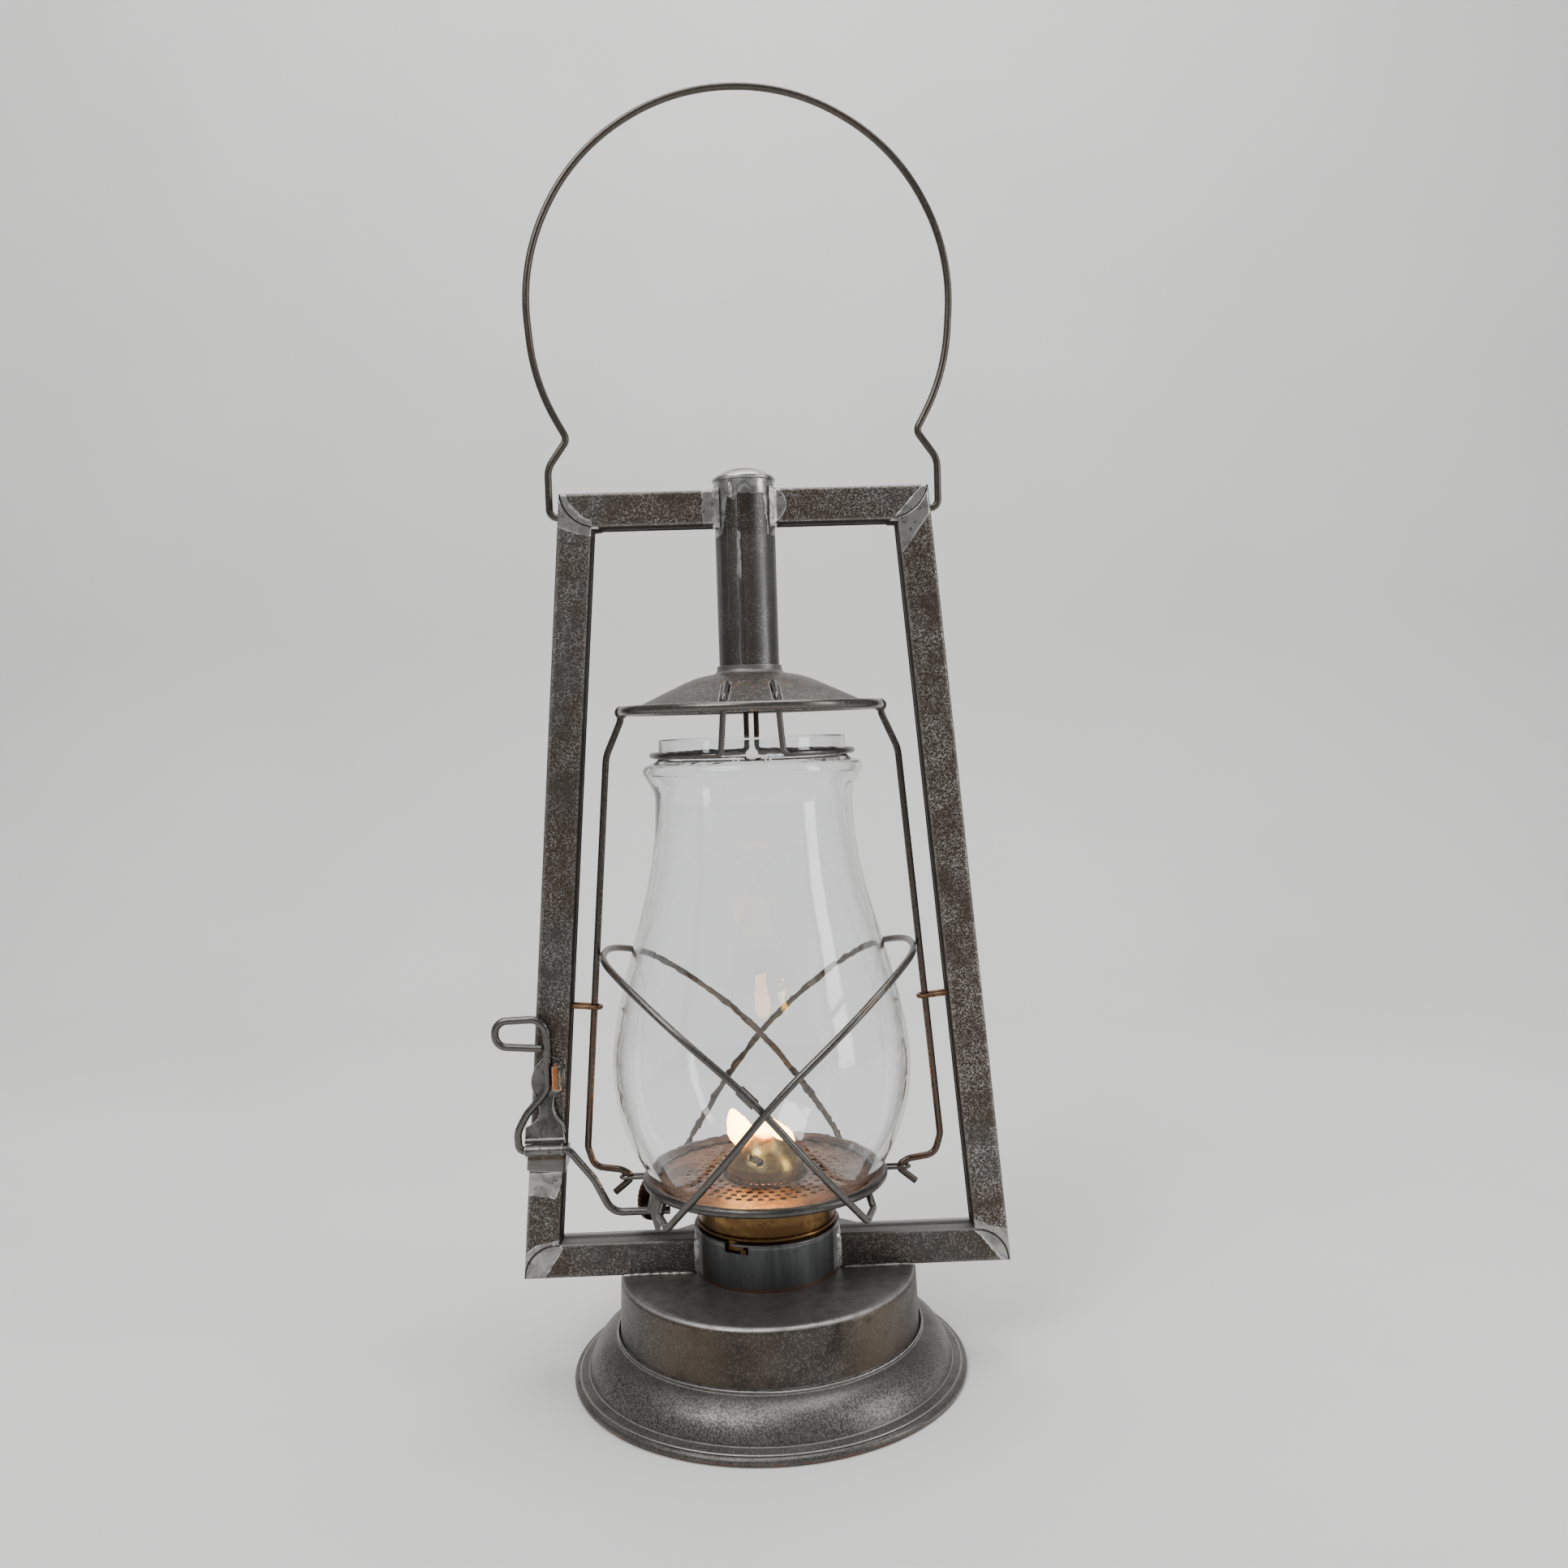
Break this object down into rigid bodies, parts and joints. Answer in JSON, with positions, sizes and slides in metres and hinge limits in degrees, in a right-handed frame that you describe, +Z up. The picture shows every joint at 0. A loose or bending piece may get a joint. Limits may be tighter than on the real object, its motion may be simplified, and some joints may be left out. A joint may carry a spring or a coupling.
{
  "type": "hanging lantern",
  "caption": "Square-tube kerosene lantern with a glass globe in a lift-up wire cage, a brass burner, a lifting lever and a swinging wire bail.",
  "frame": {"origin": "centre of the base on the surface it stands on", "axes": "+Z up, -Y front (burner slot and lever side of the tubes), +X right; the square-tube frame lies in XZ"},
  "size_m": [0.194, 0.1504, 0.4854],
  "materials": {
    "tinplate": "mottled dark patina over tinplate",
    "base_tin": "dull grey worn tinplate",
    "solder": "bright smeared solder",
    "steel_wire": "dark satin steel wire",
    "bright_steel": "polished worn steel",
    "copper_wire": "aged copper",
    "brass": "aged golden brass",
    "dark_brass": "brown tarnished brass",
    "rusty_plate": "pink-brown rust over tin",
    "clear_glass": "clear hand-blown glass",
    "wick_cotton": "woven cotton",
    "gasket_cork": "cork washer"
  },
  "bodies": {
    "frame": {"fount_shell": "base_tin", "base_skirt": "base_tin", "fount_bottom": "base_tin", "fount_collar": "base_tin", "filler_neck": "base_tin", "burner_drum": "tinplate", "lower_tube_left": "tinplate", "lower_tube_right": "tinplate", "side_tube_left": "tinplate", "side_tube_right": "tinplate", "top_tube_left": "tinplate", "top_tube_right": "tinplate", "chimney_tube": "tinplate", "chimney_cap": "solder", "solder_joints": "solder", "guide_staple_left": "copper_wire", "guide_staple_right": "copper_wire", "lever_strap": "bright_steel", "lever_latch": "bright_steel"},
    "cage": {"canopy": "tinplate", "canopy_rim": "steel_wire", "guide_wire_left": "steel_wire", "guide_wire_right": "steel_wire", "plate_eye_left": "steel_wire", "plate_eye_right": "steel_wire", "retainer_wire_left": "steel_wire", "retainer_wire_right": "steel_wire", "globe_glass": "clear_glass", "globe_plate": "rusty_plate", "plate_rim": "steel_wire", "guard_wire_a": "steel_wire", "guard_wire_b": "steel_wire", "guard_ferrule": "steel_wire", "lift_bracket": "steel_wire"},
    "lever": {"lever_wire": "steel_wire"},
    "bail": {"bail_wire": "steel_wire"},
    "burner": {"burner_cup": "brass", "burner_cone": "brass", "wick_tube": "brass", "burner_pins": "brass"},
    "wick_feed": {"wick_shaft": "dark_brass", "wick_knob": "dark_brass", "wick_sprockets": "dark_brass"},
    "wick_strip": {"wick": "wick_cotton"},
    "cap": {"filler_cap": "base_tin", "filler_gasket": "gasket_cork"}
  },
  "joints": [
    {"name": "bail_swing", "type": "hinge", "parent": "frame", "child": "bail", "pos_m": [0, 0, 0.3265], "axis": [1, 0, 0], "range_deg": [-150, 150]},
    {"name": "lift_lever_turn", "type": "hinge", "parent": "frame", "child": "lever", "pos_m": [-0.083, -0.0094, 0.0893], "axis": [1, 0, 0], "range_deg": [0, 90]},
    {"name": "globe_lift", "type": "slide", "parent": "frame", "child": "cage", "axis": [0, 0, 1], "range_m": [0, 0.0245]},
    {"name": "burner_twist", "type": "hinge", "parent": "frame", "child": "burner", "pos_m": [0, 0, 0.054], "axis": [0, 0, 1], "range_deg": [-14, 0]},
    {"name": "wick_knob_turn", "type": "hinge", "parent": "burner", "child": "wick_feed", "pos_m": [-0.00212, -0.00327, 0.0585], "axis": [-0.8387, 0.5446, 0], "range_deg": [-90, 60]},
    {"name": "wick_raise", "type": "slide", "parent": "burner", "child": "wick_strip", "axis": [0, 0, 1], "range_m": [-0.0026, 0.0038]},
    {"name": "filler_cap_turn", "type": "hinge", "parent": "frame", "child": "cap", "pos_m": [0, 0.042, 0.045], "axis": [0, 0, 1], "range_deg": [0, 540]}
  ],
  "couplings": [
    {"joint": "lift_lever_turn", "follows": "globe_lift", "rad_per_m": 64.1},
    {"joint": "wick_raise", "follows": "wick_knob_turn", "m_per_rad": -0.0024}
  ]
}
